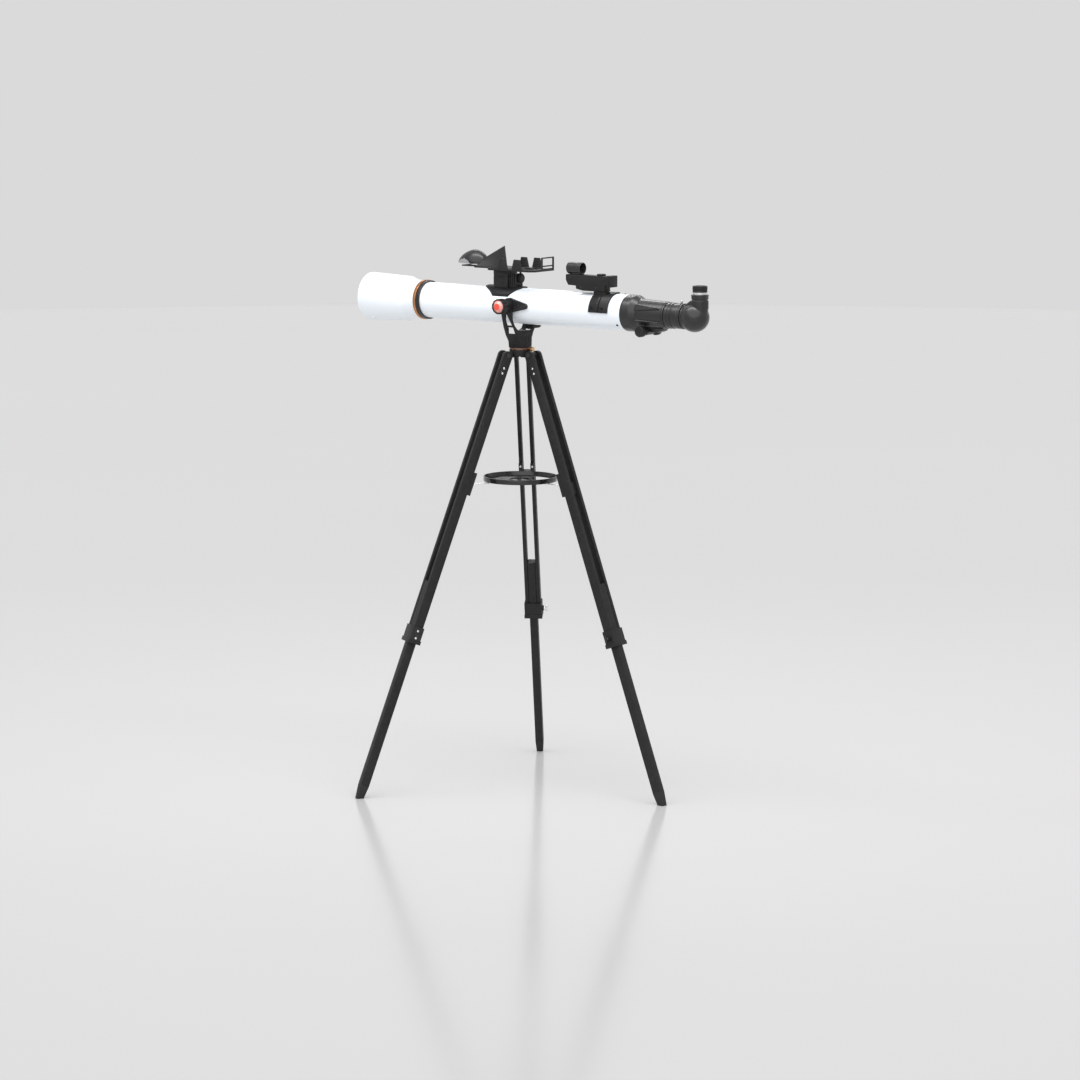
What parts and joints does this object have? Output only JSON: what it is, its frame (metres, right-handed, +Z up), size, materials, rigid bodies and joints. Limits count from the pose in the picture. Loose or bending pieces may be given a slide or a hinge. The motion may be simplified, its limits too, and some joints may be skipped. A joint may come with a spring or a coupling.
{
  "type": "telescope on tripod",
  "caption": "Refractor telescope on a yoke mount and three-legged tripod with extending legs, accessory tray, finder, focuser with diagonal, and a phone dock.",
  "frame": {"origin": "on the floor plane, under the middle of the overall length and width; the azimuth axis stands at X = -0.04485 m", "axes": "+Z up; the optical axis lies along X with the objective toward -X and the eyepiece toward +X; one leg points along +X; the altitude lock knob is on the -Y side"},
  "size_m": [1.0176, 0.767, 1.3396],
  "materials": {
    "black_plastic": "satin moulded",
    "black_metal": "satin black anodised",
    "black_cast": "fine textured black paint",
    "white_enamel": "gloss white enamel",
    "copper": "polished copper-coloured anodise",
    "silver": "bright",
    "rubber": "matt",
    "glass": "coated lens",
    "mirror": "flat mirror",
    "red": "translucent red",
    "tray_plastic": "glossy black"
  },
  "bodies": {
    "tripod_head": {"tripod_hub": "black_plastic", "hub_accent_ring": "copper", "azimuth_bolt": "silver", "leg_pivot_bolts": "black_metal"},
    "azimuth_lock": {"azimuth_lock_knob": "copper"},
    "tray": {"accessory_tray": "tray_plastic"},
    "yoke": {"yoke_fork": "black_plastic"},
    "altitude_lock": {"altitude_lock_knob": "black_plastic", "altitude_knob_disc": "red"},
    "altitude_tension": {"altitude_tension_screw": "black_plastic"},
    "tube": {"main_tube": "white_enamel", "dew_shield": "white_enamel", "dew_accent_ring": "copper", "objective_cell": "black_plastic", "objective_lens": "glass", "altitude_brackets": "black_plastic", "focuser_body": "black_plastic", "focuser_screws": "black_metal", "finder_saddle": "black_plastic", "finder_body": "black_plastic", "finder_sight_tube": "black_plastic", "dock_saddle": "black_plastic", "dock_post": "black_plastic"},
    "drawtube": {"drawtube": "black_plastic"},
    "draw_lock": {"drawtube_screw": "silver"},
    "pinion": {"pinion_shaft": "silver", "focus_knobs": "black_plastic"},
    "diagonal": {"diagonal_housing": "black_plastic"},
    "eyepiece": {"eyepiece_body": "black_plastic", "eyepiece_band": "silver"},
    "finder_dial": {"finder_dial": "black_plastic"},
    "dock_platform": {"dock_platform": "black_plastic", "dock_hood": "black_plastic", "dock_mirror": "mirror"},
    "dock_jaw": {"dock_jaw": "black_plastic"},
    "dock_knob": {"dock_adjust_knob": "black_plastic"},
    "leg_rear": {"leg_rails_rear": "black_metal", "leg_spacers_rear": "black_plastic", "leg_clamp_rear": "black_plastic", "leg_screws_rear": "silver"},
    "lower_rear": {"lower_leg_rear": "black_metal", "foot_tip_rear": "rubber"},
    "leg_lock_rear": {"leg_lock_screw_rear": "silver"},
    "stay_rear": {"tray_stay_rear": "silver"},
    "leg_left": {"leg_rails_left": "black_metal", "leg_spacers_left": "black_plastic", "leg_clamp_left": "black_plastic", "leg_screws_left": "silver"},
    "lower_left": {"lower_leg_left": "black_metal", "foot_tip_left": "rubber"},
    "leg_lock_left": {"leg_lock_screw_left": "silver"},
    "stay_left": {"tray_stay_left": "silver"},
    "leg_right": {"leg_rails_right": "black_metal", "leg_spacers_right": "black_plastic", "leg_clamp_right": "black_plastic", "leg_screws_right": "silver"},
    "lower_right": {"lower_leg_right": "black_metal", "foot_tip_right": "rubber"},
    "leg_lock_right": {"leg_lock_screw_right": "silver"},
    "stay_right": {"tray_stay_right": "silver"}
  },
  "joints": [
    {"name": "leg_fold_rear", "type": "hinge", "parent": "tripod_head", "child": "leg_rear", "pos_m": [-0.0052, 0, 1.07564], "axis": [0, 1, 0], "range_deg": [0, 6]},
    {"name": "leg_extend_rear", "type": "slide", "parent": "leg_rear", "child": "lower_rear", "axis": [0.3411, 0, -0.94], "range_m": [-0.22, 0.09]},
    {"name": "leg_lock_turn_rear", "type": "hinge", "parent": "leg_rear", "child": "leg_lock_rear", "pos_m": [0.24042, -0.025, 0.39883], "axis": [0, 1, 0], "range_deg": [-180, 180]},
    {"name": "stay_swing_rear", "type": "hinge", "parent": "leg_rear", "child": "stay_rear", "pos_m": [0.09631, 0, 0.75929], "axis": [0, 1, 0], "range_deg": [-70, 0]},
    {"name": "leg_fold_left", "type": "hinge", "parent": "tripod_head", "child": "leg_left", "pos_m": [-0.06468, -0.03434, 1.07564], "axis": [0.866, -0.5, 0], "range_deg": [0, 6]},
    {"name": "leg_extend_left", "type": "slide", "parent": "leg_left", "child": "lower_left", "axis": [-0.1706, -0.2954, -0.94], "range_m": [-0.22, 0.09]},
    {"name": "leg_lock_turn_left", "type": "hinge", "parent": "leg_left", "child": "leg_lock_left", "pos_m": [-0.20913, -0.23455, 0.39883], "axis": [0.866, -0.5, 0], "range_deg": [-180, 180]},
    {"name": "stay_swing_left", "type": "hinge", "parent": "leg_left", "child": "stay_left", "pos_m": [-0.11543, -0.12225, 0.75929], "axis": [0.866, -0.5, 0], "range_deg": [-70, 0]},
    {"name": "leg_fold_right", "type": "hinge", "parent": "tripod_head", "child": "leg_right", "pos_m": [-0.06468, 0.03434, 1.07564], "axis": [-0.866, -0.5, 0], "range_deg": [0, 6]},
    {"name": "leg_extend_right", "type": "slide", "parent": "leg_right", "child": "lower_right", "axis": [-0.1706, 0.2954, -0.94], "range_m": [-0.22, 0.09]},
    {"name": "leg_lock_turn_right", "type": "hinge", "parent": "leg_right", "child": "leg_lock_right", "pos_m": [-0.16583, 0.25955, 0.39883], "axis": [-0.866, -0.5, 0], "range_deg": [-180, 180]},
    {"name": "stay_swing_right", "type": "hinge", "parent": "leg_right", "child": "stay_right", "pos_m": [-0.11543, 0.12225, 0.75929], "axis": [-0.866, -0.5, 0], "range_deg": [-70, 0]},
    {"name": "azimuth_lock_turn", "type": "hinge", "parent": "tripod_head", "child": "azimuth_lock", "pos_m": [-0.01485, 0, 1.0902], "axis": [1, 0, 0], "range_deg": [-180, 180]},
    {"name": "tray_lift", "type": "slide", "parent": "tripod_head", "child": "tray", "axis": [0, 0, 1], "range_m": [0, 0.04]},
    {"name": "azimuth_turn", "type": "hinge", "parent": "tripod_head", "child": "yoke", "pos_m": [-0.04485, 0, 1.0933], "axis": [0, 0, 1], "continuous": true},
    {"name": "altitude_tilt", "type": "hinge", "parent": "yoke", "child": "tube", "pos_m": [-0.04485, 0, 1.1985], "axis": [0, 1, 0], "range_deg": [-28, 28]},
    {"name": "altitude_lock_turn", "type": "hinge", "parent": "tube", "child": "altitude_lock", "pos_m": [-0.04485, -0.078, 1.1985], "axis": [0, 1, 0], "range_deg": [-180, 180]},
    {"name": "altitude_tension_turn", "type": "hinge", "parent": "yoke", "child": "altitude_tension", "pos_m": [-0.04485, 0.06, 1.14], "axis": [0, 1, 0], "range_deg": [-180, 180]},
    {"name": "focus_travel", "type": "slide", "parent": "tube", "child": "drawtube", "axis": [1, 0, 0], "range_m": [0, 0.0595]},
    {"name": "focus_turn", "type": "hinge", "parent": "tube", "child": "pinion", "pos_m": [0.33915, 0, 1.1555], "axis": [0, 1, 0], "range_deg": [0, 414]},
    {"name": "draw_lock_turn", "type": "hinge", "parent": "drawtube", "child": "draw_lock", "pos_m": [0.43515, 0, 1.22], "axis": [0, 0, 1], "range_deg": [-180, 180]},
    {"name": "diagonal_turn", "type": "hinge", "parent": "drawtube", "child": "diagonal", "pos_m": [0.45515, 0, 1.195], "axis": [1, 0, 0], "continuous": true},
    {"name": "eyepiece_pull", "type": "slide", "parent": "diagonal", "child": "eyepiece", "axis": [0, 0, 1], "range_m": [0, 0.034]},
    {"name": "finder_dial_turn", "type": "hinge", "parent": "tube", "child": "finder_dial", "pos_m": [0.20985, -0.014, 1.284], "axis": [0, 0, 1], "range_deg": [-140, 140]},
    {"name": "dock_shift", "type": "slide", "parent": "tube", "child": "dock_platform", "axis": [1, 0, 0], "range_m": [-0.006, 0.006]},
    {"name": "dock_knob_turn", "type": "hinge", "parent": "tube", "child": "dock_knob", "pos_m": [-0.04485, 0, 1.262], "axis": [1, 0, 0], "range_deg": [-541, 541]},
    {"name": "dock_jaw_slide", "type": "slide", "parent": "dock_platform", "child": "dock_jaw", "axis": [0, 1, 0], "range_m": [0, 0.02], "stiffness_N_per_m": 120, "springref_m": -0.004}
  ],
  "couplings": [
    {"joint": "focus_turn", "follows": "focus_travel", "rad_per_m": 121.21},
    {"joint": "dock_knob_turn", "follows": "dock_shift", "rad_per_m": 1570.8}
  ]
}
